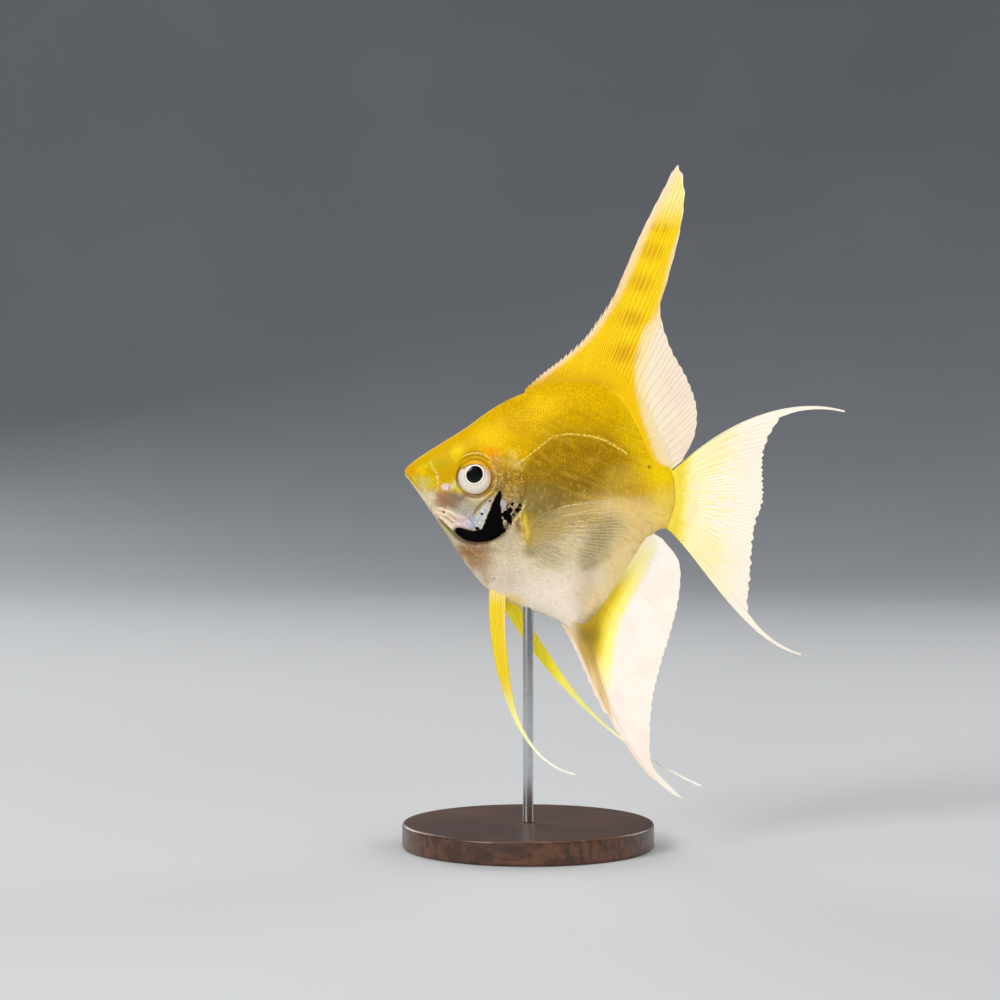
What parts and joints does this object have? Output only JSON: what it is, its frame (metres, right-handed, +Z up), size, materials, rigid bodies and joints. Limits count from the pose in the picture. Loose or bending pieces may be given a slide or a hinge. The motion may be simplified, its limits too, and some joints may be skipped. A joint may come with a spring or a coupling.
{
  "type": "freshwater angelfish display model",
  "caption": "Life-size gold freshwater angelfish, swimming level with its fins spread, held by an upright rod on a round wooden base.",
  "frame": {"origin": "centre of the underside of the stand's base, straight below the rod", "axes": "-X towards the fish's head, +X towards its tail, -Y towards its left flank, +Z up"},
  "size_m": [0.1254, 0.072, 0.1941],
  "materials": {
    "gold_skin": "wet fish skin with small overlapping scales, gold above, olive gold on the flank, pale pinkish white on the belly",
    "eye": "clear glossy cornea over a pale iris with a black pupil",
    "fin_membrane": "thin satin membrane with raised rays, yellow near the body and cream white beyond",
    "yellow_fin": "satin yellow rays that fade to white filaments",
    "clear_fin": "nearly clear membrane between fine pale rays",
    "base_wood": "dark stained hardwood, satin lacquer",
    "rod_steel": "fine brushed stainless steel"
  },
  "bodies": {
    "root": {"head": "gold_skin", "upper_jaw": "gold_skin", "lower_jaw": "gold_skin", "trunk": "gold_skin", "tail_stalk": "gold_skin", "gill_cover_left": "gold_skin", "gill_cover_right": "gold_skin", "eye_left": "eye", "eye_right": "eye", "dorsal_fin": "fin_membrane", "anal_fin": "fin_membrane", "tail_fin": "fin_membrane", "pelvic_fin_left": "yellow_fin", "pelvic_fin_right": "yellow_fin", "pectoral_fin_left": "clear_fin", "pectoral_fin_right": "clear_fin", "stand_base": "base_wood", "stand_rod": "rod_steel"}
  },
  "joints": []
}
